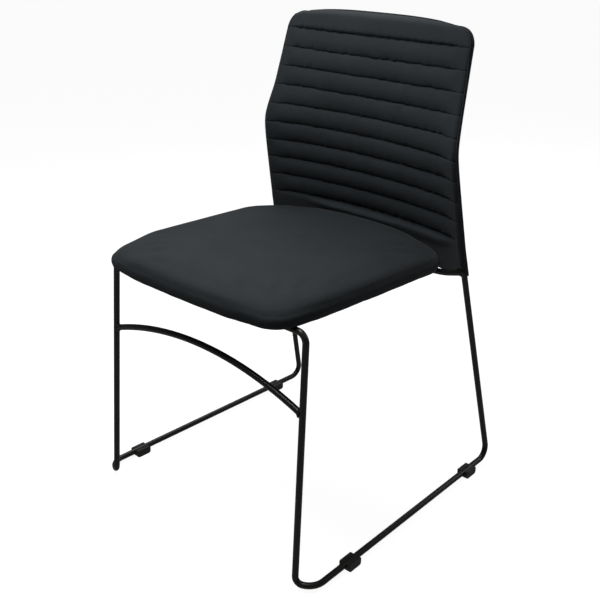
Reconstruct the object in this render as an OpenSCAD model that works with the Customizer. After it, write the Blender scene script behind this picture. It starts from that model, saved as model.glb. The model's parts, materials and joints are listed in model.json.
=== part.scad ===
// Upholstered stacking chair on a bent-rod sled frame.
// Millimetres, Z up, front of the chair towards -Y, origin on the floor under the middle.

/* [Rod frame] */
// diameter of the bent steel rod
rod_d = 11; // [9:0.5:14]
// height of the runner axis above the floor
runner_z = 11; // [8:0.5:20]
// half width between the front legs, at the floor
front_foot_x = 235; // [200:1:260]
// depth position of the front legs, at the floor
front_foot_y = -253; // [-280:1:-220]
// half width between the front legs, under the seat
front_top_x = 229; // [200:1:250]
// depth position of the front cross rod
front_rod_y = -221; // [-245:1:-190]
// height of the front cross rod axis
front_rod_z = 439.5; // [400:0.5:470]
// half width between the runners, front end
runner_front_x = 266; // [240:1:290]
// half width between the runners, rear end
runner_rear_x = 254; // [230:1:280]
// depth position of the rear bottom bend
rear_foot_y = 282.5; // [240:0.5:320]
// bend radius at the front feet
foot_bend_r = 13; // [9:0.5:30]
// bend radius where a front foot sweeps into its runner
sweep_bend_r = 30; // [15:1:60]
// bend radius at the rear feet
rear_bend_r = 22; // [12:1:40]

/* [Stretcher] */
// height of the arched stretcher where it meets the front legs
stretcher_z = 308; // [250:1:380]
// rise of the arch at mid span
stretcher_rise = 41; // [10:1:80]

/* [Seat] */
// half width of the cushion
seat_half_w = 223; // [180:1:250]
// depth position of the cushion's front edge
seat_front_y = -283; // [-300:1:-250]
// depth position of the cushion's rear edge at the middle
seat_rear_y = 205; // [180:1:215]
// cushion height above the board's underside, at the middle
seat_thick = 43; // [30:1:70]
// thickness of the seat board
board_t = 12; // [9:0.5:18]
// thickness of a mounting tab
tab_t = 3; // [2:0.5:5]
// side distance of the seat screws from the middle
screw_x = 150; // [100:1:180]

/* [Back] */
// bottom of the rear cover
back_z0 = 412; // [400:1:440]
// top of the back at its corners
back_z1 = 838.5; // [780:0.5:900]
// extra height of the top edge at the middle
back_crown = 7; // [0:0.5:20]
// thickness of the back at the middle
back_mid_t = 26; // [20:1:45]
// how much thicker the back is at its top, where it holds the top rod
back_top_extra = 9; // [7:0.5:14]
// where the front and rear cloth meet over the top edge, as a share of the thickness
top_join = 0.8; // [0.5:0.05:0.9]
// depth of the sewn channels
channel_depth = 5; // [2:0.5:8]
// height of the lowest sewn seam
first_seam_z = 481; // [450:1:520]
// spacing of the sewn seams
seam_pitch = 36.2; // [25:0.1:50]
// number of sewn seams
seam_count = 10; // [4:1:14]
// thickness of the upholstery cloth
cloth_t = 1.2; // [0.8:0.1:2]

/* [Glides] */
// length of a glide along its runner
glide_len = 31; // [20:1:50]
// width of a glide
glide_w = 22; // [16:1:30]
// height of a glide's side walls
glide_h = 14.5; // [12.5:0.5:20]
// depth position of the front left glide
front_left_y = -172; // [-200:1:-120]
// depth position of the front right glide
front_right_y = -149; // [-200:1:-120]
// depth position of the rear left glide
rear_left_y = 201; // [170:1:240]
// depth position of the rear right glide
rear_right_y = 210; // [170:1:240]

/* [Hidden] */

rod_r = rod_d / 2;
wrap_r = rod_r + 3;
hip = [225, 182.5, 470];
knee = [217, 151, 640];
rise = [208.3, 175, 700];
top_z = back_z1 - wrap_r;
top = [199, 213, top_z];
top_bend_r = 26;
foot_turn = [front_foot_x, front_foot_y, runner_z];
toe_y = front_foot_y + 14;
front_top = [front_top_x, front_rod_y, front_rod_z];
rear_foot = [runner_rear_x - 1.5, rear_foot_y, runner_z];
arch_half = front_foot_x - (front_foot_x - front_top_x) * (stretcher_z - runner_z)
            / (front_rod_z - runner_z);
arch_y = front_foot_y + (front_rod_y - front_foot_y) * (stretcher_z - runner_z)
         / (front_rod_z - runner_z);
arch_r = (arch_half * arch_half + stretcher_rise * stretcher_rise) / (2 * stretcher_rise);
leg_tilt = atan((front_rod_y - front_foot_y) / (front_rod_z - runner_z));
rear_rod_y = 145;
rear_rod_z = 427;
rear_rod_x = 214;
rear_weld = [228.2, 194.2, 416];
seat_tilt = atan((front_rod_z - rear_rod_z) / (rear_rod_y - front_rod_y));
seat_mid_y = (seat_front_y + seat_rear_y) / 2;
seat_half_d = (seat_rear_y - seat_front_y) / 2;
tab_len = 34;
tab_w = 26;
tab_z0 = -tab_t - 0.6;
hole_off = 15;
black = [0.11, 0.11, 0.12];
steel = [0.07, 0.07, 0.07];
zinc = [0.7, 0.7, 0.72];
wood = [0.72, 0.56, 0.38];
foam = [0.85, 0.8, 0.6];

function unit(v) = v / norm(v);
function mir(p) = [-p[0], p[1], p[2]];
function mirror_x(list) = [for (p = list) mir(p)];
function clamp(v, a, b) = max(a, min(b, v));
function smooth(t) = t * t * (3 - 2 * t);

// ---- bent rods: straight cylinders joined by exact torus bends ----
function bend_in(p, i, radii) = let(d1 = unit(p[i] - p[i - 1]), d2 = unit(p[i + 1] - p[i]))
    radii[i] * tan(acos(clamp(d1 * d2, -1, 1)) / 2);

module basis(o, ex, ey, ez) {
    multmatrix([[ex[0], ey[0], ez[0], o[0]],
                [ex[1], ey[1], ez[1], o[1]],
                [ex[2], ey[2], ez[2], o[2]],
                [0, 0, 0, 1]])
        children();
}

module along(a, b) {
    d = unit(b - a);
    side = unit(cross(abs(d[2]) > 0.9 ? [1, 0, 0] : [0, 0, 1], d));
    basis(a, side, cross(d, side), d)
        children();
}

// the frame at each corner is [across, up, ahead]; every piece is placed from the one before it
function first_frame(d) = let(side = unit(cross(abs(d[2]) > 0.9 ? [1, 0, 0] : [0, 0, 1], d)))
    [side, cross(d, side), d];
function bend_turn(p, i) = acos(clamp(unit(p[i] - p[i - 1]) * unit(p[i + 1] - p[i]), -1, 1));
function bend_side(p, i) = let(d1 = unit(p[i] - p[i - 1]), d2 = unit(p[i + 1] - p[i]))
    unit(d2 - (d2 * d1) * d1);

// a hair-thin ring where a straight length meets a bend, so that the two are one solid
module joint(r) {
    translate([0, 0, -0.2])
        cylinder(r = r + 0.02, h = 0.4, $fn = 32);
}

module rod_run(p, radii, r, i, f) {
    last = len(p) - 1;
    before = i == 0 ? 0 : bend_in(p, i, radii);
    after = i + 1 == last ? 0 : bend_in(p, i + 1, radii);
    run = norm(p[i + 1] - p[i]) - before - after;
    cylinder(r = r, h = run, $fn = 32);
    if (i > 0)
        joint(r);
    if (i + 1 < last) {
        inner = bend_side(p, i + 1);
        turn = bend_turn(p, i + 1);
        bend = radii[i + 1];
        side = cross(f[2], inner);
        translate([0, 0, run])
            rotate([0, 0, atan2(inner * f[1], inner * f[0])]) {
                joint(r);
                translate([bend, 0, 0])
                    rotate([-90, 0, 0])
                        rotate([0, 0, 180])
                            rotate_extrude(angle = turn, $fn = 96)
                                translate([bend, 0])
                                    circle(r = r, $fn = 32);
                translate([bend * (1 - cos(turn)), 0, bend * sin(turn)])
                    rotate([0, turn, 0])
                        rod_run(p, radii, r, i + 1,
                                [cos(turn) * inner - sin(turn) * f[2], side, unit(p[i + 2] - p[i + 1])]);
            }
    }
}

module rod_path(p, radii, r = rod_r) {
    f = first_frame(unit(p[1] - p[0]));
    basis(p[0], f[0], f[1], f[2])
        rod_run(p, radii, r, 0, f);
}

right_path = [[0, front_rod_y, front_rod_z], front_top, foot_turn,
              [runner_front_x, toe_y, runner_z], rear_foot, hip, knee, rise, top, [0, top[1], top_z]];
path_radii = [0, 17, foot_bend_r, sweep_bend_r, rear_bend_r, 300, 160, 300, top_bend_r, 0];

module right_frame_rod() {
    color(steel)
        rod_path(right_path, path_radii);
}

module left_frame_rod() {
    color(steel)
        rod_path(mirror_x(right_path), path_radii);
}

module leg_cutters() {
    for (s = [-1, 1]) {
        a = [s * front_top_x, front_rod_y, front_rod_z];
        b = [s * front_foot_x, front_foot_y, runner_z];
        along(a, b)
            cylinder(r = rod_r, h = norm(b - a), $fn = 32);
        c = [s * rear_foot[0], rear_foot[1], rear_foot[2]];
        d = [s * hip[0], hip[1], hip[2]];
        along(c, d)
            cylinder(r = rod_r, h = norm(d - c) - 20, $fn = 32);
    }
}

module arch(r) {
    span = 2 * asin((arch_half - 1) / arch_r);
    translate([0, arch_y, stretcher_z])
        rotate([90 - leg_tilt, 0, 0])
            translate([0, stretcher_rise - arch_r, 0])
                rotate([0, 0, 90 - span / 2])
                    rotate_extrude(angle = span, $fn = 720)
                        translate([arch_r, 0])
                            circle(r = r, $fn = 32);
}

module front_stretcher() {
    color(steel)
        difference() {
            arch(rod_r);
            leg_cutters();
        }
}

rear_path = [rear_weld, [rear_rod_x, rear_rod_y, rear_rod_z],
             [-rear_rod_x, rear_rod_y, rear_rod_z], mir(rear_weld)];

module rear_cross_rod() {
    color(steel)
        difference() {
            rod_path(rear_path, [0, 25, 25, 0]);
            leg_cutters();
        }
}

module bead(p, d) {
    along(p + d * 4, p + d * 9.5)
        cylinder(r1 = 8, r2 = rod_r + 0.1, h = 5.5, $fn = 32);
}

module weld_beads() {
    slope = asin(arch_half / arch_r);
    color(steel)
        for (s = [-1, 1])
            difference() {
                union() {
                    bead([s * arch_half, arch_y, stretcher_z],
                         [-s * cos(slope), sin(slope) * sin(leg_tilt), sin(slope) * cos(leg_tilt)]);
                    bead([s * rear_weld[0], rear_weld[1], rear_weld[2]],
                         unit([s * (rear_rod_x - rear_weld[0]), rear_rod_y - rear_weld[1],
                               rear_rod_z - rear_weld[2]]));
                }
                leg_cutters();
                arch(rod_r);
                rod_path(rear_path, [0, 25, 25, 0]);
            }
}

// ---- glides ----
function runner_x(y) = let(t = (y - toe_y) / (rear_foot_y - toe_y))
    runner_front_x + t * (rear_foot[0] - runner_front_x);

module glide(s, y) {
    yaw = s * atan((runner_front_x - rear_foot[0]) / (rear_foot_y - toe_y));
    color(black)
        translate([s * runner_x(y), y, 0])
            rotate([0, 0, yaw])
                difference() {
                    rotate([90, 0, 90])
                        translate([0, 0, -glide_w / 2])
                            linear_extrude(glide_w)
                                polygon([[-glide_len / 2 + 4, 0], [glide_len / 2 - 4, 0],
                                         [glide_len / 2 - 1, 1.5], [glide_len / 2, 4.5],
                                         [glide_len / 2, glide_h - 1.5],
                                         [glide_len / 2 - 1.5, glide_h],
                                         [-glide_len / 2 + 1.5, glide_h],
                                         [-glide_len / 2, glide_h - 1.5],
                                         [-glide_len / 2, 4.5], [-glide_len / 2 + 1, 1.5]]);
                    translate([0, glide_len, runner_z])
                        rotate([90, 0, 0])
                            cylinder(r = rod_r, h = 2 * glide_len, $fn = 32);
                }
}

module front_left_glide() {
    glide(-1, front_left_y);
}

module front_right_glide() {
    glide(1, front_right_y);
}

module rear_left_glide() {
    glide(-1, rear_left_y);
}

module rear_right_glide() {
    glide(1, rear_right_y);
}

// ---- lofts: a closed solid through a list of rings with equal point counts ----
module loft(rings) {
    n = len(rings[0]);
    m = len(rings);
    pts = [for (ring = rings) each ring];
    mid0 = len(pts);
    function centre(ring) = [for (k = [0 : 2]) let(v = [for (p = ring) p[k]]) (v * [for (p = ring) 1]) / n];
    all_pts = concat(pts, [centre(rings[0]), centre(rings[m - 1])]);
    faces = concat(
        [for (j = [0 : m - 2], i = [0 : n - 1]) each let(a = j * n + i, b = j * n + (i + 1) % n)
            [[a, a + n, b], [b, a + n, b + n]]],
        [for (i = [0 : n - 1]) [mid0, i, (i + 1) % n]],
        [for (i = [0 : n - 1]) [mid0 + 1, (m - 1) * n + (i + 1) % n, (m - 1) * n + i]]);
    polyhedron(points = all_pts, faces = faces, convexity = 6);
}

// a closed solid between two grids of the same shape; a is the outer one
module slab(a, b) {
    m = len(a);
    n = len(a[0]);
    off = m * n;
    pts = concat([for (row = a) each row], [for (row = b) each row]);
    function at(j, i) = j * n + i;
    rim = concat([for (i = [0 : n - 1]) at(0, i)], [for (j = [1 : m - 1]) at(j, n - 1)],
                 [for (i = [n - 2 : -1 : 0]) at(m - 1, i)], [for (j = [m - 2 : -1 : 1]) at(j, 0)]);
    k = len(rim);
    faces = concat(
        [for (j = [0 : m - 2], i = [0 : n - 2]) each
            [[at(j, i), at(j + 1, i), at(j, i + 1)], [at(j, i + 1), at(j + 1, i), at(j + 1, i + 1)]]],
        [for (j = [0 : m - 2], i = [0 : n - 2]) each
            [[off + at(j, i), off + at(j, i + 1), off + at(j + 1, i)],
             [off + at(j, i + 1), off + at(j + 1, i + 1), off + at(j + 1, i)]]],
        [for (q = [0 : k - 1]) each let(p0 = rim[q], p1 = rim[(q + 1) % k])
            [[p0, p1, off + p0], [p1, off + p1, off + p0]]]);
    polyhedron(points = pts, faces = faces, convexity = 6);
}

// ---- seat ----
module seat_space() {
    translate([0, front_rod_y, front_rod_z + rod_r + tab_t])
        rotate([-seat_tilt, 0, 0])
            translate([0, -front_rod_y, 0])
                children();
}

function arc_pts(c, r, a0, a1, n) =
    [for (i = [0 : n]) let(a = a0 + (a1 - a0) * i / n) [c[0] + r * cos(a), c[1] + r * sin(a)]];

// right half of the cushion's plan, from the rear middle round to the front middle
rear_bow_r = 430;
rear_corner_r = 70;
front_corner_r = 48;
rear_corner_a = 20;
front_corner_a = -86;
rear_corner_c = [seat_half_w - rear_corner_r, seat_rear_y - 98];
front_corner_c = [seat_half_w - 4 - front_corner_r, seat_front_y + 8 + front_corner_r];
half_plan = concat(
    arc_pts([0, seat_rear_y - rear_bow_r], rear_bow_r, 90, 90 - rear_corner_a, 6),
    arc_pts(rear_corner_c, rear_corner_r, 66, 2, 8),
    [[seat_half_w, 20], [seat_half_w, -60], [seat_half_w - 1, -140]],
    arc_pts(front_corner_c, front_corner_r, -2, front_corner_a, 8),
    [[110, seat_front_y + 2.4], [55, seat_front_y + 0.6], [0, seat_front_y]]);
half_n = len(half_plan);
plan = concat(half_plan, [for (i = [half_n - 2 : -1 : 1]) [-half_plan[i][0], half_plan[i][1]]]);

// how far a plan point is into a corner: 0 along the sides, 1 in the middle of a corner
function cornering(p) = let(k = abs(p[0]) / seat_half_w * abs(p[1] - seat_mid_y) / seat_half_d)
    smooth(clamp((k - 0.45) / 0.42, 0, 1));
// one ring of the cushion; at a corner it moves in by pull and down by drop, less at the rear corners
rear_pull = 0.35;
function plan_ring(inset, z, pull = 0, drop = 0) = [for (p = plan)
    let(c = cornering(p), cut = inset + c * pull * (p[1] > seat_mid_y ? rear_pull : 1))
    [p[0] * (1 - cut / seat_half_w), seat_mid_y + (p[1] - seat_mid_y) * (1 - cut / seat_half_d),
     z - c * drop]];

// the cushion's side from the top middle down: inset, depth below the top, corner pull, corner drop
cushion_side = [[130, -0.5, 0, 0.3], [80, -2, 1, 1], [40, -4.8, 3, 2.5], [20, -8, 5, 3.5], [10, -11.4, 7, 4],
                [4.6, -15.4, 8, 4.5], [1.6, -20.4, 9, 4.5], [0.2, -26.5, 10, 4], [0.6, -33.5, 8, 2.5],
                [2.4, -39.5, 4, 1], [5.2, -43, 0, 0]];

function cushion_rings(t, floor_z, base) = concat(
    [for (s = cushion_side) if (seat_thick + s[1] - s[3] - t > floor_z + 0.5)
        plan_ring(s[0] + t, seat_thick + s[1] - t, s[2], s[3])],
    [plan_ring(base[0] + t, floor_z, base[1])]);

module seat_board() {
    color(wood)
        seat_space()
            difference() {
                linear_extrude(board_t)
                    polygon([for (p = plan_ring(5.2 + cloth_t + 0.3, 0, 6)) [p[0], p[1]]]);
                for (c = screw_spots)
                    translate([c[0], c[1], 0]) {
                        translate([0, 0, -1])
                            cylinder(d = 8.2, h = board_t + 2, $fn = 32);
                        translate([0, 0, board_t - 1.5])
                            cylinder(d = 18.4, h = 3, $fn = 40);
                    }
            }
}

screw_spots = [[-screw_x, front_rod_y + hole_off], [screw_x, front_rod_y + hole_off],
               [-screw_x, rear_rod_y - hole_off], [screw_x, rear_rod_y - hole_off]];

module seat_t_nuts() {
    color(zinc)
        seat_space()
            for (c = screw_spots)
                translate([c[0], c[1], 0])
                    difference() {
                        union() {
                            translate([0, 0, 2.5])
                                cylinder(d = 8, h = board_t - 3, $fn = 32);
                            translate([0, 0, board_t - 1.5])
                                cylinder(d = 18, h = 1.3, $fn = 40);
                        }
                        translate([0, 0, 1])
                            cylinder(d = 6.2, h = board_t, $fn = 32);
                    }
}

module seat_screws() {
    color(zinc)
        seat_space()
            for (c = screw_spots)
                translate([c[0], c[1], tab_z0])
                    difference() {
                        union() {
                            cylinder(d = 6, h = 10 - tab_z0, $fn = 32);
                            translate([0, 0, -3.3])
                                cylinder(d1 = 9.5, d2 = 11, h = 3.3, $fn = 32);
                        }
                        translate([0, 0, -3.4])
                            cylinder(d = 4.6, h = 2.2, $fn = 6);
                    }
}

module seat_tabs() {
    color(steel)
        difference() {
            seat_space()
                for (c = screw_spots) {
                    back = c[1] > 0 ? -1 : 1;
                    translate([c[0], c[1] - back * hole_off + back * (tab_len / 2 - 6), tab_z0])
                        difference() {
                            translate([-tab_w / 2, -tab_len / 2, 0])
                                cube([tab_w, tab_len, tab_t + 0.5]);
                            translate([0, back * (hole_off - tab_len / 2 + 6), -1])
                                cylinder(d = 6.6, h = tab_t + 3, $fn = 32);
                        }
                }
            for (s = [-1, 1]) {
                translate([s * 10, front_rod_y, front_rod_z])
                    rotate([0, s * 90, 0])
                        cylinder(r = rod_r, h = 190, $fn = 32);
                translate([s * 10, rear_rod_y, rear_rod_z])
                    rotate([0, s * 90, 0])
                        cylinder(r = rod_r, h = 180, $fn = 32);
            }
        }
}

module seat_foam() {
    color(foam)
        seat_space()
            loft(cushion_rings(cloth_t + 0.3, board_t + 0.1, [1.6, 9]));
}

module seat_cover() {
    inner = cushion_rings(cloth_t, 0, [5.2, 0]);
    color(black)
        seat_space()
            loft(concat(cushion_rings(0, -cloth_t, [5.2, 0]), [plan_ring(22, -cloth_t), plan_ring(22, 0)],
                        [for (i = [len(inner) - 1 : -1 : 0]) inner[i]]));
}

module seat_dust_cover() {
    color(black)
        seat_space()
            difference() {
                translate([0, 0, -cloth_t - 0.7])
                    linear_extrude(0.6)
                        polygon([for (p = plan_ring(16, 0)) [p[0], p[1]]]);
                for (c = screw_spots) {
                    back = c[1] > 0 ? -1 : 1;
                    translate([c[0] - tab_w / 2 - 2,
                               c[1] - back * hole_off + back * (tab_len / 2 - 6) - tab_len / 2 - 2, -5])
                        cube([tab_w + 4, tab_len + 4, 10]);
                }
            }
}

// ---- back: one section at each height, inset for each layer ----
function slope(a, b, k) = (b[k] - a[k]) / (b[2] - a[2]);
function kink(u, w) = (u + sqrt(u * u + w * w)) / 2;
// x (k = 0) or y (k = 1) of an upright's axis at a height
function rod_at(z, k) = z < hip[2] ? hip[k] + slope(rear_foot, hip, k) * (z - hip[2])
    : hip[k] + slope(hip, knee, k) * (z - hip[2])
      + (slope(knee, rise, k) - slope(hip, knee, k)) * kink(z - knee[2], 20)
      + (slope(rise, top, k) - slope(knee, rise, k)) * kink(z - rise[2], 10);
function mid_front(z) = 178 + (z < 680 ? 0.00068 : 0.00042) * pow(z - 680, 2);
corner_z = top_z - top_bend_r;
function edge_x(z) = z <= corner_z ? rod_at(z, 0)
    : rod_at(corner_z, 0) - top_bend_r - wrap_r
      + sqrt(max(0, pow(top_bend_r + wrap_r, 2) - pow(z - corner_z, 2)));
function squeeze(z) = z <= top_z ? 1 : sqrt(max(0.02, 1 - pow((z - top_z) / wrap_r, 2)));
function bowed(z, q) = (rod_at(z, 1) - wrap_r - mid_front(z)) * (0.85 * q * q + 0.15 * pow(q, 8));
function front_y(z, q) = mid_front(z) + bowed(z, q);
function mid_t(z) = back_mid_t + back_top_extra * smooth(clamp((z - 690) / 110, 0, 1));
function thick(z, q) = 2 * wrap_r + (mid_t(z) - 2 * wrap_r) * (1 - q * q);
function lift(z, q) = back_crown * (1 - q * q) * smooth(clamp((z - 795) / (back_z1 - 795), 0, 1));

// depth of the sewn groove at height z, 1 on a seam and 0 half way between two
function groove(z) = let(k = (z - first_seam_z) / seam_pitch, n = round(k), d = abs(k - n))
    (n < 0 || n > seam_count - 1) ? 0
    : (k < 0 || k > seam_count - 1) ? max(0, 1 - pow(d / 0.28, 0.6))
    : 1 - sqrt(max(0, 1 - pow(1 - 2 * d, 2)));

// at the corners the join comes back to the middle of the thickness
function join_at(q) = top_join + (0.5 - top_join) * smooth(clamp((abs(q) - 0.75) / 0.25, 0, 1));
function surf(z, q, t, dy) = let(zz = min(z, back_z1 - t), g = squeeze(zz + t * (zz > top_z ? 1 : 0)),
    mid = front_y(zz, q) + thick(zz, q) * join_at(q))
    [q * edge_x(zz), mid + (dy - mid) * g, zz + lift(zz, q)];

function skin_front(z, q, t) = surf(z, q, t,
    front_y(z, q) + t + channel_depth * groove(z) * (1 - pow(q, 8)));
function skin_rear(z, q, t) = surf(z, q, t, front_y(z, q) + thick(z, q) - t);
// the edge round the rod, a = -90 at the front and +90 at the rear
function skin_edge(z, s, a, t) = let(zz = min(z, back_z1 - t), g = squeeze(zz + t * (zz > top_z ? 1 : 0)))
    [s * (edge_x(zz) + (wrap_r - t) * cos(a)), rod_at(zz, 1) + (wrap_r - t) * sin(a) * g, zz];

function qs(n) = [for (i = [0 : n]) sin(90 * (2 * i / n - 1))];
hem_z = back_z0 + 1;
seam_rows = [for (k = [0 : seam_count - 2], f = [0, 0.18, 0.5, 0.82]) first_seam_z + (k + f) * seam_pitch];
top_seam = first_seam_z + (seam_count - 1) * seam_pitch;
front_rows = concat([hem_z, 430, 440, 454, 466, 476], seam_rows,
                    [top_seam, top_seam + 4, top_seam + 10, top_z - 5, top_z + 3, top_z + 6.4, back_z1]);
plain_rows = concat([for (z = [back_z0 : 16 : 800]) z],
                    [806, 814, 822, top_z, top_z + 4, top_z + 7, back_z1]);
pipe_a = -26;

// the lower edge of the front cloth rises beside the uprights, clear of the cross rod's ends
function hem_rise(z, q) = z > hem_z ? z : hem_z + 13 * smooth(clamp((abs(q) - 0.9) / 0.07, 0, 1));
function front_row(z, t) = concat(
    [for (a = [pipe_a, -46, -68]) skin_edge(hem_rise(z, 1), -1, a, t)],
    [for (q = qs(14)) skin_front(hem_rise(z, q), q, t)],
    [for (a = [-68, -46, pipe_a]) skin_edge(hem_rise(z, 1), 1, a, t)]);
function rear_row(z, t) = concat(
    [for (a = [pipe_a + 3, 0, 23, 47, 70]) skin_edge(z, 1, a, t)],
    [for (q = qs(14)) skin_rear(z, -q, t)],
    [for (a = [70, 47, 23, 0, pipe_a + 3]) skin_edge(z, -1, a, t)]);

module back_front_cover() {
    color(black)
        slab([for (z = front_rows) front_row(z, 0)], [for (z = front_rows) front_row(z, cloth_t)]);
}

module back_rear_cover() {
    color(black)
        slab([for (z = plain_rows) rear_row(z, 0)], [for (z = plain_rows) rear_row(z, cloth_t)]);
}

shell_rows = [for (z = plain_rows) if (z > 424 && z < 808) z];
shell_edge = rod_r + 1;
function in_q(z, q, m) = q * (edge_x(z) - m) / edge_x(z);
function layer(z, q, m, y) = let(p = in_q(z, q, m)) [p * edge_x(z), y, z + lift(z, p)];
function shell_y(z, q, m, d) = let(p = in_q(z, q, m)) front_y(z, p) + thick(z, p) - d;

// a grid that lies d inside the rear face, between the two uprights
function shell_grid(d) = [for (z = shell_rows)
    [for (q = qs(14)) layer(z, q, shell_edge, shell_y(z, q, shell_edge, d))]];

module back_shell() {
    color(wood)
        slab(shell_grid(8.2), shell_grid(3.6));
}

module back_wadding() {
    color([0.9, 0.9, 0.9])
        slab(shell_grid(3.4), shell_grid(1.8));
}

foam_rows = [for (z = front_rows) if (z > 428 && z < 812) z];
module back_foam() {
    color(foam)
        slab([for (z = foam_rows) [for (q = qs(14)) let(p = in_q(z, q, shell_edge))
                  layer(z, q, shell_edge, front_y(z, p) + cloth_t + 0.4
                        + channel_depth * groove(z) * (1 - pow(p, 8)))]],
             [for (z = foam_rows)
                 [for (q = qs(14)) layer(z, q, shell_edge, shell_y(z, q, shell_edge, 8.8))]]);
}

pipe_rows = [for (z = [back_z0 + 1 : 16 : 800]) z];
pipe_r = 1.4;
module back_piping() {
    side = [for (z = pipe_rows) skin_edge(z, 1, pipe_a, -pipe_r - 0.4)];
    corner = [for (z = [810, 820, 829, 836]) skin_edge(z, 1, pipe_a, -pipe_r - 0.4)];
    half = concat(side, corner);
    n = len(half);
    over = [for (q = [0.9, 0.6, 0.3, 0, -0.3, -0.6, -0.9])
        [q * edge_x(back_z1), front_y(back_z1, q) + thick(back_z1, q) * join_at(q) + 0.6,
         back_z1 + pipe_r + 0.4 + lift(back_z1, q)]];
    line = concat(half, over, [for (i = [n - 1 : -1 : 0]) mir(half[i])]);
    m = len(line);
    color(black)
        loft([for (i = [0 : m - 1]) let(a = line[max(0, i - 1)], b = line[min(m - 1, i + 1)],
              d = unit(b - a), u = unit(cross([0, 1, 0], d)), w = cross(d, u))
              [for (k = [0 : 7]) line[i] + pipe_r * (cos(45 * k) * u + sin(45 * k) * w)]]);
}

// sewn strip that closes the sleeve between the two rods
module back_closure() {
    rows = [back_z0 + 1, back_z0 + 11.5];
    edge = wrap_r + 3.5;
    color(black)
        slab([for (z = rows) [for (q = qs(14)) let(p = in_q(z, q, edge))
                  layer(z, q, edge, front_y(z, p) + cloth_t + 0.8)]],
             [for (z = rows) [for (q = qs(14)) layer(z, q, edge, shell_y(z, q, edge, cloth_t + 0.8))]]);
}

left_frame_rod();
right_frame_rod();
front_stretcher();
rear_cross_rod();
weld_beads();
seat_tabs();
seat_board();
seat_t_nuts();
seat_screws();
seat_foam();
seat_cover();
seat_dust_cover();
back_shell();
back_foam();
back_wadding();
back_front_cover();
back_rear_cover();
back_piping();
back_closure();
front_left_glide();
front_right_glide();
rear_left_glide();
rear_right_glide();
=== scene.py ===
import json
from math import atan2, cos, pi, radians, sin, sqrt

import bmesh
import bpy
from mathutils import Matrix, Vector, noise


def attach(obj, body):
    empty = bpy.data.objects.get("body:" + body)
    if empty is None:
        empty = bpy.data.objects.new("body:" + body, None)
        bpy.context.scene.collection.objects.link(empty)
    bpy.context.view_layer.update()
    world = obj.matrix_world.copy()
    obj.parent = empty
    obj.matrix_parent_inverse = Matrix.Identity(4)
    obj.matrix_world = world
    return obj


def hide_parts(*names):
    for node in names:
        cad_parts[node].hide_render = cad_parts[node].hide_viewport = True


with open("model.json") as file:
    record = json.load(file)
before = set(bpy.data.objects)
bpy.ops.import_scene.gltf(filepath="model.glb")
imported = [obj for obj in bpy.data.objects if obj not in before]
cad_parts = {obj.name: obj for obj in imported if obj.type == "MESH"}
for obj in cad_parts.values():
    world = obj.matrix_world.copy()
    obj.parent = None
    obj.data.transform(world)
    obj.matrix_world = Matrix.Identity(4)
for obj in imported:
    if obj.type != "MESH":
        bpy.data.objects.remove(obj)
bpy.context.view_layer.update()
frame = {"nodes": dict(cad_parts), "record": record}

NODES = frame["nodes"]


def clamp(v, low=0.0, high=1.0):
    return max(low, min(high, v))


def smooth(t):
    t = clamp(t)
    return t * t * (3 - 2 * t)


# ---------------------------------------------------------------- camera, floor and light

CAMERA_PLACE = (1.0732, -1.142, 1.0321)
CAMERA_PITCH = radians(68.74)
CAMERA_TURN = radians(43.01)
LENS = 56.36
SENSOR = 36.0
LENS_SHIFT = (0.0018, -0.0555)

FLOOR_REACH = 80
PAPER = 0.4
PAPER_GLOW = 0.93

# brightness of the tent round the chair, from straight down (0) over the horizon (0.5) to straight up (1)
TENT = ((0.0, 0.25), (0.35, 0.2), (0.5, 0.11), (0.55, 0.05), (1.0, 0.1))

# name, place, what it is aimed at, size, watts
LAMPS = (
    ("overhead", (-0.07, -0.35, 1.31), (-0.07, -0.35, 0), (0.5, 0.75), 8.2),
    ("rear_left", (-0.85, 0.9, 1.85), (0, 0, 0.5), (1.0, 1.0), 10.0),
    ("rear_fill", (0.9, 2.5, 1.2), (0, 0, 0.6), (1.2, 1.0), 10.0),
)


def make_camera():
    """The photograph's viewpoint, fitted to the corners of the frame."""
    data = bpy.data.cameras.new("camera")
    data.lens = LENS
    data.sensor_width = SENSOR
    data.shift_x, data.shift_y = LENS_SHIFT
    cam = bpy.data.objects.new("camera", data)
    cam.location = CAMERA_PLACE
    cam.rotation_euler = (CAMERA_PITCH, 0, CAMERA_TURN)
    bpy.context.scene.collection.objects.link(cam)
    bpy.context.scene.camera = cam


def area_light(name, place, target, size, power):
    data = bpy.data.lights.new(name, "AREA")
    data.shape = "RECTANGLE"
    data.size, data.size_y = size
    data.energy = power
    lamp = bpy.data.objects.new(name, data)
    lamp.location = place
    lamp.rotation_euler = (Vector(target) - Vector(place)).to_track_quat("-Z", "Y").to_euler()
    lamp.visible_camera = False
    bpy.context.scene.collection.objects.link(lamp)


def make_floor():
    """A wide sheet of white paper that glows a little, so that shadows on it stay pale."""
    bm = bmesh.new()
    bmesh.ops.create_grid(bm, x_segments=2, y_segments=2, size=FLOOR_REACH)
    mesh = bpy.data.meshes.new("floor")
    bm.to_mesh(mesh)
    bm.free()
    floor = bpy.data.objects.new("floor", mesh)
    bpy.context.scene.collection.objects.link(floor)
    mat = bpy.data.materials.new("floor_paper")
    mat.use_nodes = True
    shader = mat.node_tree.nodes["Principled BSDF"]
    shader.inputs["Base Color"].default_value = (PAPER, PAPER, PAPER, 1)
    shader.inputs["Roughness"].default_value = 0.95
    shader.inputs["Specular IOR Level"].default_value = 0.0
    shader.inputs["Emission Color"].default_value = (1, 1, 1, 1)
    shader.inputs["Emission Strength"].default_value = PAPER_GLOW
    mesh.materials.append(mat)
    floor.visible_diffuse = False
    floor.visible_glossy = False


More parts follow.
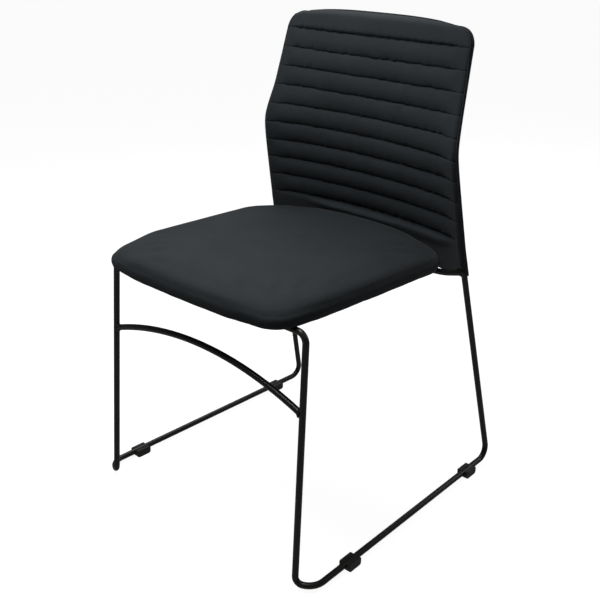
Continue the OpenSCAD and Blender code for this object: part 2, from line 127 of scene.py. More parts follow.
def make_world():
    """A dim tent, brighter below, as over a white floor. The camera sees white paper behind the chair."""
    world = bpy.data.worlds.new("studio")
    world.use_nodes = True
    tree = world.node_tree
    tree.nodes.clear()
    add, link = tree.nodes.new, tree.links.new
    split = add("ShaderNodeSeparateXYZ")
    link(add("ShaderNodeTexCoord").outputs["Generated"], split.inputs[0])
    half = add("ShaderNodeMath")
    half.operation = "MULTIPLY_ADD"
    half.inputs[1].default_value = half.inputs[2].default_value = 0.5
    link(split.outputs["Z"], half.inputs[0])
    ramp = add("ShaderNodeValToRGB")
    while len(ramp.color_ramp.elements) < len(TENT):
        ramp.color_ramp.elements.new(0.5)
    for element, (at, level) in zip(ramp.color_ramp.elements, TENT):
        element.position = at
        element.color = (level, level, level, 1)
    link(half.outputs[0], ramp.inputs["Fac"])
    tent = add("ShaderNodeBackground")
    link(ramp.outputs["Color"], tent.inputs["Color"])
    paper = add("ShaderNodeBackground")
    paper.inputs["Color"].default_value = (1, 1, 1, 1)
    mix = add("ShaderNodeMixShader")
    link(add("ShaderNodeLightPath").outputs["Is Camera Ray"], mix.inputs[0])
    link(tent.outputs[0], mix.inputs[1])
    link(paper.outputs[0], mix.inputs[2])
    link(mix.outputs[0], add("ShaderNodeOutputWorld").inputs["Surface"])
    bpy.context.scene.world = world


def make_light():
    make_world()
    for lamp in LAMPS:
        area_light(*lamp)
    bpy.context.scene.view_settings.view_transform = "Standard"


# ---------------------------------------------------------------- materials

class Nodes:
    """A short way to write a node tree: add a node, set its sockets, link others into it."""

    def __init__(self, name):
        self.mat = bpy.data.materials.new(name)
        self.mat.use_nodes = True
        self.tree = self.mat.node_tree
        self.shader = self.tree.nodes["Principled BSDF"]

    def add(self, kind, settings=None, **sockets):
        node = self.tree.nodes.new(kind)
        for key, value in (settings or {}).items():
            setattr(node, key, value)
        self.feed(node, **sockets)
        return node

    def feed(self, node, **sockets):
        for key, value in sockets.items():
            socket = node.inputs[int(key[1:])] if key[0] == "_" and key[1:].isdigit() \
                else node.inputs[key.replace("_", " ")]
            if isinstance(value, bpy.types.NodeSocket):
                self.tree.links.new(value, socket)
            else:
                socket.default_value = value

    def math(self, op, a, b=0.0, c=0.0):
        return self.add("ShaderNodeMath", {"operation": op}, _0=a, _1=b, _2=c).outputs[0]

    def ramp(self, fac, stops):
        node = self.add("ShaderNodeValToRGB", Fac=fac)
        while len(node.color_ramp.elements) < len(stops):
            node.color_ramp.elements.new(0.5)
        for element, (at, colour) in zip(node.color_ramp.elements, stops):
            element.position = at
            element.color = (*colour, 1)
        return node.outputs["Color"]

    def noise(self, vector, scale, detail=2.0, rough=0.5):
        return self.add("ShaderNodeTexNoise", Vector=vector, Scale=scale, Detail=detail,
                        Roughness=rough).outputs["Fac"]

    def bump(self, height, strength, distance, **more):
        return self.add("ShaderNodeBump", Strength=strength, Distance=distance, Height=height,
                        **more).outputs["Normal"]

    def place(self):
        """Object coordinates, in metres."""
        return self.add("ShaderNodeTexCoord").outputs["Object"]


THREAD_PITCH = 0.0011


def cloth_material(name, dark, light):
    """Fine plain-weave upholstery: crossing threads that follow the UV map, which is in metres."""
    n = Nodes(name)
    place = n.add("ShaderNodeTexCoord").outputs
    split = n.add("ShaderNodeSeparateXYZ", Vector=place["UV"]).outputs
    turns = 2 * pi / THREAD_PITCH
    warp = n.math("SINE", n.math("MULTIPLY", split["X"], turns))
    weft = n.math("SINE", n.math("MULTIPLY", split["Y"], turns))
    weave = n.math("MULTIPLY_ADD", n.math("MULTIPLY", warp, weft), 0.5, 0.5)
    slub = n.noise(place["Object"], 900, 3, 0.6)
    wide = n.noise(place["Object"], 14, 4, 0.55)
    uneven = n.math("MULTIPLY_ADD", slub, 0.45, n.math("MULTIPLY", wide, 0.35))
    tone = n.math("MULTIPLY_ADD", weave, 0.35, uneven)
    threads = n.bump(n.math("MULTIPLY_ADD", slub, 0.6, weave), 0.35, 0.00025)
    n.feed(n.shader, Base_Color=n.ramp(tone, [(0.25, dark), (0.85, light)]), Roughness=0.8,
           Specular_IOR_Level=0.15, Sheen_Weight=0.06, Sheen_Roughness=0.45,
           Normal=n.bump(n.noise(place["Object"], 45, 3), 0.25, 0.002, Normal=threads))
    return n.mat


def powder_coat():
    n = Nodes("black_powder_coat")
    place = n.place()
    peel = n.noise(place, 1400, 2, 0.5)
    patch = n.noise(place, 30, 3, 0.5)
    n.feed(n.shader,
           Base_Color=n.ramp(patch, [(0.3, (0.0140, 0.0142, 0.0122)), (0.75, (0.0215, 0.0217, 0.0190))]),
           Roughness=n.math("MULTIPLY_ADD", patch, 0.12, 0.28), Specular_IOR_Level=0.45,
           Normal=n.bump(peel, 0.12, 0.0003))
    return n.mat


def moulded_plastic():
    n = Nodes("black_moulded_plastic")
    place = n.place()
    tone = n.noise(place, 60, 3)
    n.feed(n.shader, Base_Color=n.ramp(tone, [(0.3, (0.030, 0.030, 0.028)), (0.8, (0.050, 0.050, 0.047))]),
           Roughness=0.5, Specular_IOR_Level=0.3, Normal=n.bump(n.noise(place, 2200, 2, 0.6), 0.25, 0.0002))
    return n.mat


def zinc():
    n = Nodes("zinc_plate")
    place = n.place()
    tone = n.noise(place, 300, 3)
    n.feed(n.shader, Base_Color=n.ramp(tone, [(0.3, (0.42, 0.42, 0.43)), (0.8, (0.62, 0.61, 0.58))]),
           Metallic=1.0, Roughness=n.math("MULTIPLY_ADD", n.noise(place, 900, 2), 0.2, 0.28))
    return n.mat


def plywood():
    n = Nodes("birch_plywood")
    along = n.add("ShaderNodeMapping", Vector=n.place(), Scale=(1, 14, 40)).outputs["Vector"]
    grain = n.noise(along, 12, 5, 0.6)
    n.feed(n.shader, Base_Color=n.ramp(grain, [(0.3, (0.42, 0.27, 0.14)), (0.7, (0.62, 0.45, 0.27))]),
           Roughness=0.65)
    return n.mat


def soft_filling(name, dark, light, scale):
    n = Nodes(name)
    cells = n.noise(n.place(), scale, 4, 0.7)
    n.feed(n.shader, Base_Color=n.ramp(cells, [(0.3, dark), (0.7, light)]), Roughness=0.95,
           Normal=n.bump(cells, 0.4, 0.0008))
    return n.mat


def lining_material():
    """Pressed non-woven felt with its grid of small weld dots."""
    n = Nodes("black_non_woven")
    place = n.place()
    dots = n.add("ShaderNodeTexVoronoi", {"feature": "F1"}, Vector=place, Scale=420, Randomness=0.25)
    fibre = n.noise(place, 1200, 3, 0.7)
    n.feed(n.shader, Base_Color=n.ramp(fibre, [(0.3, (0.012, 0.012, 0.013)), (0.8, (0.03, 0.03, 0.031))]),
           Roughness=0.9, Normal=n.bump(dots.outputs["Distance"], 0.5, 0.0003))
    return n.mat


CLOTH_DARK = (0.0125, 0.0155, 0.0180)
CLOTH_LIGHT = (0.0290, 0.0350, 0.0390)
MATS = {
    "upholstery": cloth_material("charcoal_cloth", CLOTH_DARK, CLOTH_LIGHT),
    "frame": powder_coat(),
    "glide": moulded_plastic(),
    "hardware": zinc(),
    "board": plywood(),
    "foam": soft_filling("seat_foam_pu", (0.5, 0.44, 0.26), (0.72, 0.66, 0.45), 500),
    "lining_pad": soft_filling("polyester_wadding", (0.6, 0.6, 0.59), (0.86, 0.86, 0.84), 180),
    "lining": lining_material(),
}


def paint_cad_nodes():
    """Every CAD node gets its slot's material, and the moulded glides also get soft edges."""
    slots = {s["node"]: s["material_slot"] for s in frame["record"]["subparts"]}
    for name, node in NODES.items():
        node.data.materials.clear()
        node.data.materials.append(MATS[slots[name]])
        if name.endswith("_glide"):
            soften = node.modifiers.new("moulded_edges", "BEVEL")
            soften.width = 0.0012
            soften.segments = 3
            soften.limit_method = "ANGLE"
            soften.angle_limit = radians(25)


# ---------------------------------------------------------------- mesh helpers

def smooth_object(name, bm):
    """Turns a bmesh into a smoothly shaded object in the scene."""
    bmesh.ops.recalc_face_normals(bm, faces=bm.faces)
    for face in bm.faces:
        face.smooth = True
    mesh = bpy.data.meshes.new(name)
    bm.to_mesh(mesh)
    bm.free()
    obj = bpy.data.objects.new(name, mesh)
    bpy.context.scene.collection.objects.link(obj)
    return obj


def grid_object(name, rows, uvs=None, close_u=False, cap=False):
    """A quad mesh through rows of points. close_u joins each row's ends, cap fills the first and last one."""
    bm = bmesh.new()
    grid = [[bm.verts.new(p) for p in row] for row in rows]
    layer = bm.loops.layers.uv.new("UVMap")
    width = len(rows[0])
    spans = width if close_u else width - 1
    for j in range(len(rows) - 1):
        for i in range(spans):
            k = (i + 1) % width
            face = bm.faces.new((grid[j][i], grid[j][k], grid[j + 1][k], grid[j + 1][i]))
            if uvs:
                corners = ((j, i), (j, i + 1), (j + 1, i + 1), (j + 1, i))
                for loop, (a, b) in zip(face.loops, corners):
                    loop[layer].uv = uvs[a][b]
    if cap:
        bm.faces.new(list(reversed(grid[0])))
        bm.faces.new(grid[-1])
    return smooth_object(name, bm)


def slab_object(name, outer, inner):
    """A closed solid between two grids of the same shape, with its rim closed all round."""
    bm = bmesh.new()
    layer = bm.loops.layers.uv.new("UVMap")
    uvs = metre_uvs(outer)
    m, n = len(outer), len(outer[0])
    skins = [[[bm.verts.new(p) for p in row] for row in rows] for rows in (outer, inner)]

    def face(*corners):
        made = bm.faces.new([skins[k][j][i] for k, j, i in corners])
        for loop, (_, j, i) in zip(made.loops, corners):
            loop[layer].uv = uvs[j][i]

    for k in (0, 1):
        for j in range(m - 1):
            for i in range(n - 1):
                face((k, j, i), (k, j, i + 1), (k, j + 1, i + 1), (k, j + 1, i))
    for j in (0, m - 1):
        for i in range(n - 1):
            face((0, j, i), (0, j, i + 1), (1, j, i + 1), (1, j, i))
    for i in (0, n - 1):
        for j in range(m - 1):
            face((0, j, i), (0, j + 1, i), (1, j + 1, i), (1, j, i))
    return smooth_object(name, bm)


def metre_uvs(rows, close_u=False):
    """UVs in metres, measured along and across the rows, so that a weave keeps its size."""
    uvs = []
    v = [0.0] * (len(rows[0]) + 1)
    for j, row in enumerate(rows):
        ring = list(row) + ([row[0]] if close_u else [])
        u = [0.0]
        for a, b in zip(ring, ring[1:]):
            u.append(u[-1] + (Vector(b) - Vector(a)).length)
        middle = u[-1] / 2
        if j:
            last = list(rows[j - 1]) + [rows[j - 1][0]]
            mid = len(row) // 2
            step = (Vector(row[mid]) - Vector(last[mid])).length
            v = [x + step for x in v]
        uvs.append([(x - middle, y) for x, y in zip(u, v)])
    return uvs


def dress(obj, slot, *nodes):
    """Gives a new piece its slot's material, fixes it to the chair and hides the CAD nodes it stands for."""
    obj.data.materials.clear()
    obj.data.materials.append(MATS[slot])
    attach(obj, "root")
    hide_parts(*nodes)


# ---------------------------------------------------------------- the back's section rules, in metres
# They are the CAD's, apart from a fuller crown and the piping's way round the top corners. z is a height and
# q a position across the back, from -1 at one upright to 1 at the other.

WRAP = 0.0085       # the skin's distance from an upright's axis
CLOTH = 0.0013
REAR_FOOT = (0.2525, 0.2825, 0.011)
HIP = (0.225, 0.1825, 0.470)
KNEE = (0.217, 0.151, 0.640)
RISE = (0.2083, 0.175, 0.700)
TOP = (0.199, 0.213, 0.830)
BACK_LOW = 0.413
BACK_TOP = TOP[2] + WRAP
CORNER_R = 0.026 + WRAP
CORNER_Z = TOP[2] - 0.026
CROWN = 0.0082      # how far the middle of the top edge stands above its ends
CROWN_Z = 0.795
THIN = 0.026        # thickness in the middle, low down
THICKER = 0.009     # what is added to it from the lumbar bend up
JOIN_TUCK = 0.0012  # how far both cloths are drawn in where they meet
SEAM_0 = 0.481
SEAM_PITCH = 0.0362
SEAMS = 10
SEAM_ZS = [SEAM_0 + k * SEAM_PITCH for k in range(SEAMS)]


def slope(a, b, k):
    return (b[k] - a[k]) / (b[2] - a[2])


def kink(u, width):
    """0 below u = 0 and u above it, rounded over the given width."""
    return (u + sqrt(u * u + width * width)) / 2


def rod_at(z, k):
    """x (k = 0) or y (k = 1) of an upright's axis at height z."""
    if z < HIP[2]:
        return HIP[k] + slope(REAR_FOOT, HIP, k) * (z - HIP[2])
    low, mid, high = slope(HIP, KNEE, k), slope(KNEE, RISE, k), slope(RISE, TOP, k)
    return (HIP[k] + low * (z - HIP[2]) + (mid - low) * kink(z - KNEE[2], 0.020)
            + (high - mid) * kink(z - RISE[2], 0.010))


def edge_x(z):
    """x of the back's edge line: an upright's axis, then the round corner at the top."""
    if z <= CORNER_Z:
        return rod_at(z, 0)
    return rod_at(CORNER_Z, 0) - CORNER_R + sqrt(max(0.0, CORNER_R ** 2 - (z - CORNER_Z) ** 2))


def front_y(z, q):
    """The front skin without its rolls, bowed between the uprights and bent at the small of the back."""
    middle = 0.178 + (0.68 if z < 0.68 else 0.42) * (z - 0.68) ** 2
    bow = 0.85 * q * q + 0.15 * q ** 8
    return middle + (rod_at(z, 1) - WRAP - middle) * bow


def thick(z, q):
    middle = THIN + THICKER * smooth((z - 0.69) / 0.11)
    return 2 * WRAP + (middle - 2 * WRAP) * (1 - q * q)


def lift(z, q):
    return CROWN * (1 - abs(q) ** 3) * smooth((z - CROWN_Z) / (BACK_TOP - CROWN_Z))


def squeeze(z):
    """1 down the back, falling to 0 over the rounded top edge."""
    if z <= TOP[2]:
        return 1.0
    return sqrt(max(0.0004, 1 - ((z - TOP[2]) / WRAP) ** 2))


def inside(z, depth):
    """The height of a layer that lies depth inside the skin, for a row of the skin at height z."""
    return z if z <= TOP[2] else TOP[2] + (z - TOP[2]) * (WRAP - depth) / WRAP


def join_y(z, q):
    """Depth at which the front and rear cloth meet over the top edge."""
    return front_y(z, q) + thick(z, q) * (0.8 - 0.3 * smooth((abs(q) - 0.75) / 0.25))


def at_middle(z, q, y, depth=0.0):
    """A point q across, at depth y, pulled to the join where the top edge rounds over."""
    join = join_y(z, q)
    tuck = JOIN_TUCK * (1 - smooth(squeeze(z) / 0.3))
    return (q * edge_x(z), join + (y - join) * squeeze(z), inside(z, depth) - tuck + lift(z, q))


def pipe_angle(z):
    """Where the piping runs round the wrap: well to the outside, and further forward at the top corner."""
    return -26 - 18 * smooth((z - 0.755) / 0.05)


def at_edge(z, side, angle, grow=0.0):
    """A point on the wrap round an upright; the angle is -90 at the front and 90 at the back."""
    a = radians(angle)
    reach = WRAP + grow - JOIN_TUCK * (1 - smooth(abs(angle - pipe_angle(z)) / 14))
    y = rod_at(z, 1) + reach * sin(a) * squeeze(z)
    return (side * (edge_x(z) + reach * cos(a)), y, inside(z, -min(grow, 0.0)))


def top_heights():
    """Heights over the rounded top: even steps round the corner, then round the edge's own roll."""
    round_corner = [CORNER_Z + CORNER_R * sin(radians(a)) for a in range(0, 91, 5)]
    steps = (8, 16, 24, 32, 40, 48, 56, 64, 71, 77, 82, 86, 90)
    round_edge = [TOP[2] + WRAP * sin(radians(a)) for a in steps]
    return sorted({round(z, 6) for z in round_corner + round_edge if z <= BACK_TOP})


def across(n):
    """Positions from -1 to 1, closer together towards the edges."""
    return [sin(pi * (i / n - 0.5)) for i in range(n + 1)]


# ---------------------------------------------------------------- the front of the back: ten sewn channels

ROLL = 0.0060
CREASE = 0.0028
ON_WRAP = 0.16              # the share of a roll's depth that is left on the wrap round an upright
CREASE_ON_WRAP = 0.45
WANDER = 0.0015
GATHER = 0.0017
FOLD = 0.0105
SAG = 0.009                 # how far the lowest edge hangs below the CAD's, between the uprights
HEM_RISE = 0.013            # how far it rises beside them
CAVITY = 0.0088             # what is left of the thickness behind the front pad: the panel and the wadding


def seam_near(z):
    """(number of the nearest seam, distance from it)."""
    k = int(clamp(round((z - SEAM_0) / SEAM_PITCH), 0, SEAMS - 1))
    return k, abs(z - SEAM_ZS[k])


def roll(z):
    """How far the cloth lies behind the crest of its roll at height z, without the stitched groove."""
    k, away = seam_near(z)
    if z > SEAM_ZS[-1]:
        share = clamp(1 - away / 0.008)
    elif z < SEAM_0:
        share = clamp(1 - away / 0.011)
    else:
        share = 1 - 2 * away / SEAM_PITCH
    lean = 0.0045 * clamp((z - SEAM_ZS[-1] - 0.004) / 0.026)
    fuller = 0.0016 * smooth((0.68 - z) / 0.12)
    return (ROLL + fuller) * (1 - (1 - share ** 2) ** 0.8) + lean


def crease(z):
    """The narrow groove that the stitches pull in along a seam."""
    return CREASE * (0.75 + 0.4 * smooth((0.74 - z) / 0.16)) * clamp(1 - seam_near(z)[1] / 0.0026) ** 1.3


def wiggle(x, z):
    """The stitched line wanders a little, because the padding gathers as it is sewn."""
    k, away = seam_near(z)
    return clamp(1 - away / 0.007) * WANDER * noise.noise(Vector((x * 150, 4.7 * k, 1.3)))


def pucker(x, z):
    """Small gathers that run off a seam at right angles to it, and die out within the roll."""
    k, away = seam_near(z)
    side = 1 if z > SEAM_ZS[k] else 7
    wave = noise.noise(Vector((x * 78 + 11.7 * k, z * 16, 3.1 * k + side)))
    wave += 0.6 * noise.noise(Vector((x * 170, z * 30, 5.3 * k + side)))
    return clamp(1 - away / 0.014) ** 1.3 * wave * GATHER


def slant(z, q):
    """The sewn rows lie a little lower towards positive x, most of all at the foot of the back."""
    middle = 0.0025 * sin(pi * clamp((z - SEAM_0) / 0.326))
    tilt = (q + 0.1) * (0.0027 - 0.0022 * clamp((z - 0.48) / 0.33))
    return middle - tilt * smooth((z - BACK_LOW) / 0.05) * smooth((BACK_TOP - z) / 0.025)


def fold(x, z):
    """The loose crease across the plain band at the foot of the back, above the seat."""
    below = SEAM_0 - z
    crest = smooth((below - 0.002) / 0.009) * smooth((0.023 + 0.002 * sin(x * 19) - below) / 0.008)
    along = smooth((x + 0.17) / 0.1) * (1 - 0.45 * smooth((x - 0.02) / 0.07)) * smooth((0.21 - x) / 0.05)
    return -FOLD * crest * along


def seam_share(z, inset):
    """1 where a seam is sewn down, 0 in the border beyond its ends. inset is measured from the upright."""
    border = -0.0110 + 0.0125 * smooth((0.575 - z) / 0.1)
    return smooth((inset - border) / 0.004)


def front_point(row, q):
    """The front skin at a row of the sewing pattern, which is drawn as if its seams were level."""
    z = row + slant(row, q)
    inset = edge_x(z) * (1 - abs(q))
    x = q * edge_x(z)
    sewn = seam_share(row, inset)
    out = smooth(inset / 0.034)
    line = row + wiggle(x, row) * smooth(inset / 0.004)
    depth = roll(line) * (ON_WRAP + (1 - ON_WRAP) * out)
    depth += crease(line) * (CREASE_ON_WRAP + (1 - CREASE_ON_WRAP) * out)
    y = front_y(z, q) + (depth + pucker(x, row) * smooth(inset / 0.02)) * sewn
    y -= 0.0012 * noise.noise(Vector((x * 9, z * 14, 5.0))) * smooth(inset / 0.03)
    return at_middle(z, q, y + fold(x, row))


def front_wrap(row, side, angle):
    """The front skin where it wraps an upright."""
    inset = -WRAP * radians(angle + 90)
    z = row + slant(row, side)
    depth = ON_WRAP * roll(row) + CREASE_ON_WRAP * crease(row)
    return at_edge(z, side, angle, -depth * seam_share(row, inset))


def sagged(z, q):
    """The lowest rows hang towards the cross rod, between the two uprights."""
    return z - max(0.0, 1 - (z - BACK_LOW) / 0.03) * SAG * smooth((0.93 - abs(q)) / 0.06)


def hem(z, q):
    """The front cloth's lowest rows also rise beside the uprights, to clear the ends of the cross rod."""
    return sagged(z, q) + max(0.0, 1 - (z - BACK_LOW) / 0.014) * HEM_RISE * smooth((abs(q) - 0.9) / 0.08)


def front_heights():
    """Heights of the mesh rows, closer together where a roll turns into its seam."""
    zs = [BACK_LOW + 0.0028 * i for i in range(23)]
    shares = (0, 0.02, 0.04, 0.062, 0.09, 0.14, 0.21, 0.3, 0.4, 0.5, 0.6, 0.7, 0.79, 0.86, 0.91, 0.938, 0.96,
              0.98)
    zs += [SEAM_0 + (k + s) * SEAM_PITCH for k in range(-1, SEAMS - 1) for s in shares
           if k >= 0 or s > 0.7]
    zs += [SEAM_ZS[-1] + d for d in (0, 0.0008, 0.0016, 0.0025, 0.004, 0.006, 0.009, 0.013, 0.018, 0.023)]
    zs += [z for z in top_heights() if z > SEAM_ZS[-1] + 0.025]
    return sorted({round(z, 6) for z in zs})


def make_back_front():
    qs = across(190)
    shares = (1, 0.95, 0.89, 0.81, 0.72, 0.61, 0.48, 0.34, 0.19)
    outer, inner = [], []
    for z in front_heights():
        angles = [-90 + s * (pipe_angle(z) + 90) for s in shares]
        low = hem(z, 1)
        outer.append([front_wrap(low, -1, a) for a in angles] + [front_point(hem(z, q), q) for q in qs]
                     + [front_wrap(low, 1, a) for a in reversed(angles)])
        back = []
        for q in qs:
            padding = max(CLOTH + 0.0003, (thick(z, q) - CAVITY) * smooth((1 - abs(q)) / 0.06))
            back.append(at_middle(hem(z, q), q, front_y(z, q) + padding, CLOTH))
        inner.append([at_edge(low, -1, a, -0.0025) for a in angles] + back
                     + [at_edge(low, 1, a, -0.0025) for a in reversed(angles)])
    obj = slab_object("back_front_pad", outer, inner)
    dress(obj, "upholstery", "back_front_cover", "back_foam")


# ---------------------------------------------------------------- the rear sleeve, its piping, its closing strip

PIPE_R = 0.0013
PIPE_OUT = 0.0012
STRIP_IN = 0.0022


def rear_point(z, q, depth=0.0):
    x = q * edge_x(z)
    y = front_y(z, q) + thick(z, q) - depth
    y += 0.0010 * noise.noise(Vector((x * 7, z * 9, 9.0))) * (1 - q * q)
    return at_middle(z, q, y, depth)


def make_back_rear():
    zs = [BACK_LOW - 0.001 + 0.006 * i for i in range(66)]
    zs = sorted({round(z, 6) for z in zs if z < CORNER_Z} | set(top_heights()))
    qs = across(70)
    shares = (1, 0.96, 0.91, 0.84, 0.74, 0.62, 0.48, 0.33, 0.16, 0)
    skins = []
    for depth in (0.0, CLOTH):
        rows = []
        for z in zs:
            angles = [76 - s * (73 - pipe_angle(z)) for s in shares]
            rows.append([at_edge(z, 1, a, -depth) for a in angles]
                        + [rear_point(sagged(z, q), -q, depth) for q in qs]
                        + [at_edge(z, -1, a, -depth) for a in reversed(angles)])
        skins.append(rows)
    obj = slab_object("back_rear_sleeve", *skins)
    dress(obj, "upholstery", "back_rear_cover", "back_wadding")


def pipe_line():
    """The line where the front and rear cloth meet: up one side, over the top, down the other."""
    zs = [BACK_LOW + 0.001 + 0.005 * i for i in range(80)]
    corner = {z for z in top_heights() if z < TOP[2] + 0.002}
    zs = sorted({round(z, 6) for z in zs if z < CORNER_Z} | corner)
    side = [Vector(at_edge(z, 1, pipe_angle(z), PIPE_OUT)) for z in zs]
    over = []
    for q in [0.96 - 0.04 * i for i in range(49)]:
        x, y, z = at_middle(BACK_TOP, q, join_y(BACK_TOP, q))
        over.append(Vector((x, y + 0.0020 * (1 - q ** 4), z + 0.0009)))
    mirrored = [Vector((-p.x, p.y, p.z)) for p in reversed(side)]
    return side + over + mirrored


def tube(name, line, radius, sides=10):
    """A round cord along a line of points."""
    rows = []
    normal = Vector((0, -1, 0))
    for i, p in enumerate(line):
        ahead = (line[min(i + 1, len(line) - 1)] - line[max(i - 1, 0)]).normalized()
        side = ahead.cross(normal).normalized()
        up = side.cross(ahead)
        rows.append([p + radius * (cos(2 * pi * k / sides) * side + sin(2 * pi * k / sides) * up)
                     for k in range(sides)])
    return grid_object(name, rows, metre_uvs(rows, True), close_u=True, cap=True)


def make_piping():
    obj = tube("back_edge_piping", pipe_line(), PIPE_R)
    dress(obj, "upholstery", "back_piping")


def make_closure():
    """The folded strip that closes the sleeve along its lower edge, between the two uprights."""
    rows = []
    for q in [0.94 * (i / 40 - 1) for i in range(81)]:
        front = front_y(BACK_LOW, q) + STRIP_IN
        back = front_y(BACK_LOW, q) + thick(BACK_LOW, q) - STRIP_IN
        middle, half = (front + back) / 2, (back - front) / 2
        rows.append([(q * edge_x(BACK_LOW), middle + half * u, sagged(BACK_LOW, q) + 0.0055 + 0.0050 * v)
                     for u, v in ((-1, 0.9), (-1, -0.6), (-0.8, -0.95), (0, -0.8), (0.8, -0.95), (1, -0.6),
                                  (1, 0.9), (0, 1.0))])
    obj = grid_object("back_closing_strip", rows, metre_uvs(rows, True), close_u=True, cap=True)
    dress(obj, "upholstery", "back_closure")


# ---------------------------------------------------------------- the seat cushion

TILT = atan2(0.4395 - 0.427, 0.145 + 0.221)
SEAT_PIVOT = Vector((0, -0.221, 0.448))


def seat_to_chair(p):
    """From the seat's own space, where the board's underside is z = 0, to the chair."""
    x, y, z = p
    y -= SEAT_PIVOT.y
    return Vector((x, SEAT_PIVOT.y + y * cos(TILT) + z * sin(TILT),
                   SEAT_PIVOT.z + z * cos(TILT) - y * sin(TILT)))


HALF_W = 0.223
FRONT_Y = -0.283
REAR_Y = 0.205
MID_Y = (FRONT_Y + REAR_Y) / 2
HALF_D = (REAR_Y - FRONT_Y) / 2
THICK = 0.0442
RIPPLE = 0.0012
HEM_GATHER = 0.0009
REAR_PULL = 0.35            # the rear corners are pulled in by this share of what the front ones are


def arc(cx, cy, r, a0, a1, n):
    return [(cx + r * cos(radians(a0 + (a1 - a0) * i / n)), cy + r * sin(radians(a0 + (a1 - a0) * i / n)))
            for i in range(n + 1)]


def half_plan():
    """The cushion's outline from the middle of its rear edge round to the middle of its front edge."""
    pts = arc(0, REAR_Y - 0.430, 0.430, 90, 70, 6)
    pts += arc(HALF_W - 0.070, REAR_Y - 0.098, 0.070, 66, 2, 8)
    pts += [(HALF_W, 0.020), (HALF_W, -0.060), (HALF_W - 0.001, -0.140)]
    pts += arc(HALF_W - 0.052, FRONT_Y + 0.056, 0.048, -2, -86, 8)
    pts += [(0.110, FRONT_Y + 0.0024), (0.055, FRONT_Y + 0.0006), (0, FRONT_Y)]
    return pts


def curve_at(line, i, t):
    """The point t of the way from line[i] to line[i + 1], on a smooth curve through all its points."""
    a, b = line[max(i - 1, 0)], line[i]
    c, d = line[i + 1], line[min(i + 2, len(line) - 1)]
    return 0.5 * (2 * b + (c - a) * t + (2 * a - 5 * b + 4 * c - d) * t * t
                  + (3 * b - a - 3 * c + d) * t ** 3)


def even(points, n):
    """n + 1 points spaced evenly along a smooth line through the given ones."""
    line = [Vector((*p, 0)) for p in points]
    dense = [curve_at(line, i, s / 12) for i in range(len(line) - 1) for s in range(12)] + [line[-1]]
    length = [0.0]
    for a, b in zip(dense, dense[1:]):
        length.append(length[-1] + (b - a).length)
    out = []
    k = 0
    for i in range(n + 1):
        want = length[-1] * i / n
        while k < len(dense) - 2 and length[k + 1] < want:
            k += 1
        t = (want - length[k]) / max(length[k + 1] - length[k], 1e-9)
        p = dense[k].lerp(dense[k + 1], clamp(t))
        out.append((p.x, p.y))
    return out


HALF = even(half_plan(), 90)
PLAN = HALF + [(-x, y) for x, y in reversed(HALF[1:-1])]


def cornering(x, y):
    """0 along the cushion's sides and 1 at its corners."""
    k = abs(x) / HALF_W * abs(y - MID_Y) / HALF_D
    return smooth((k - 0.45) / 0.42)


# the cushion's side from the top middle down to the staples, in mm: inset from the outline, height over the
# flat top, and how far the corners are pulled in and dropped
SIDE = (
    (222, 0.6, 0, 0), (200, 0.6, 0, 0), (170, 0.4, 0, 0.1), (130, 0, 0, 0.4), (80, -1.3, 1.2, 1.6),
    (40, -3.8, 4, 3.8), (20, -6.9, 6.4, 5.6), (10, -10.4, 8, 6.4), (4.4, -14.6, 8.6, 6.6),
    (1.3, -20, 8.4, 6.2), (0, -26.5, 7.8, 5.4), (0.4, -33.8, 7.2, 4.2), (2.2, -41.5, 6.4, 3),
    (4.8, -45.6, 6, 2), (9, -47.1, 5.5, 1.8), (21, -46.6, 4, 0), (22, -45.4, 4, 0), (22.4, -43.2, 4, 0),
)


def side_rings(steps=5):
    """The side profile in metres, with a smooth curve through its points."""
    line = [Vector(point) for point in SIDE]
    rings = [curve_at(line, i, s / steps) / 1000 for i in range(len(line) - 1) for s in range(steps)]
    return rings + [line[-1] / 1000]


def seat_point(x, y, ring):
    """Where the outline's point (x, y) lies on one ring of the side, with a ripple and a gathered hem."""
    inset, height, pull, drop = ring
    c = cornering(x, y)
    cut = inset + c * pull * (REAR_PULL if y > MID_Y else 1)
    px = x * (1 - cut / HALF_W)
    py = MID_Y + (y - MID_Y) * (1 - cut / HALF_D)
    pz = THICK + height - c * drop
    ripple = 0
    if height > -0.02:
        ripple = noise.noise(Vector((px * 6, py * 6, 2.0))) * RIPPLE * smooth(inset / 0.05)
    gather = smooth((-height - 0.026) / 0.012) * noise.noise(Vector((px * 38, py * 38, 8.0))) * HEM_GATHER
    out = Vector((px, py - MID_Y, 0)).normalized() * gather
    return seat_to_chair((px + out.x, py + out.y, pz + ripple))


def make_seat():
    rows = [[seat_point(x, y, ring) for x, y in PLAN] for ring in side_rings()]
    obj = grid_object("seat_cushion", rows, close_u=True)
    close_holes(obj)
    inflate(obj)
    planar_uvs(obj)
    dress(obj, "upholstery", "seat_cover", "seat_foam")


VOXEL = 0.005
START_IN = 0.0005           # the cloth starts this far inside the built shape
SWELL_CAP = 0.0022          # and moves at most this far
HELD_BELOW = 0.010          # it is stapled below this height over the board's underside
SIM_FRAMES = 20
UV_DROP = 0.6               # how much of the height down the side goes into each direction of the UV plan


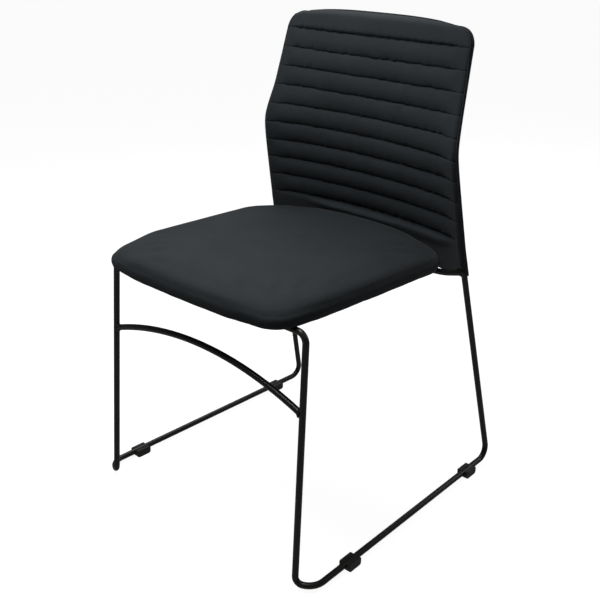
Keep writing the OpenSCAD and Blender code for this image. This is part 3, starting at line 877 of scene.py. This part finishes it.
def inflate(obj):
    """Swells the cushion's cloth with pressure, held where it is stapled to the board, and keeps that shape."""
    remesh = obj.modifiers.new("even_cloth", "REMESH")
    remesh.mode = "VOXEL"
    remesh.voxel_size = VOXEL
    remesh.use_smooth_shade = True
    apply_modifiers(obj)
    mesh = obj.data
    held = obj.vertex_groups.new(name="stapled")
    for v in mesh.vertices:
        height = (v.co - seat_to_chair((v.co.x, v.co.y, 0))).z
        free = smooth((height - HELD_BELOW) / 0.012)
        v.co -= v.normal * START_IN * free
        held.add([v.index], 1 - free, "REPLACE")
    start = [v.co.copy() for v in mesh.vertices]
    cloth = obj.modifiers.new("cloth", "CLOTH")
    cloth.settings.quality = 5
    cloth.settings.mass = 0.3
    cloth.settings.tension_stiffness = cloth.settings.compression_stiffness = 15
    cloth.settings.bending_stiffness = 5
    cloth.settings.use_pressure = True
    cloth.settings.uniform_pressure_force = 4
    cloth.settings.vertex_group_mass = "stapled"
    cloth.settings.effector_weights.gravity = 0
    cloth.collision_settings.use_collision = False
    scene = bpy.context.scene
    for frame_number in range(1, SIM_FRAMES + 1):
        scene.frame_set(frame_number)
    apply_modifiers(obj)
    for v, at in zip(obj.data.vertices, start):
        move = v.co - at
        if move.length > SWELL_CAP:
            v.co = at + move * (SWELL_CAP / move.length)
    scene.frame_set(1)
    obj.vertex_groups.clear()
    soften = obj.modifiers.new("soften", "SUBSURF")
    soften.levels = 1
    apply_modifiers(obj)


def apply_modifiers(obj):
    """Replaces the mesh with what its modifiers make of it, and takes them off."""
    graph = bpy.context.evaluated_depsgraph_get()
    made = bpy.data.meshes.new_from_object(obj.evaluated_get(graph))
    obj.modifiers.clear()
    obj.data = made
    for face in made.polygons:
        face.use_smooth = True


def planar_uvs(obj):
    """Seat cloth runs straight over the top and down the sides, so its UVs are the plan plus the drop."""
    layer = obj.data.uv_layers.active or obj.data.uv_layers.new(name="UVMap")
    for loop in obj.data.loops:
        p = obj.data.vertices[loop.vertex_index].co
        drop = SEAT_PIVOT.z + THICK - p.z
        outward = UV_DROP * drop * (1 if p.x > 0 else -1)
        layer.data[loop.index].uv = (p.x + outward, p.y - UV_DROP * drop)


def close_holes(obj):
    """Fills the open middle of the top and of the underside."""
    bm = bmesh.new()
    bm.from_mesh(obj.data)
    bmesh.ops.holes_fill(bm, edges=[e for e in bm.edges if e.is_boundary], sides=0)
    bmesh.ops.recalc_face_normals(bm, faces=bm.faces)
    bm.to_mesh(obj.data)
    bm.free()


# ---------------------------------------------------------------- all of it

make_camera()
make_floor()
make_light()
paint_cad_nodes()
make_back_front()
make_back_rear()
make_piping()
make_closure()
make_seat()
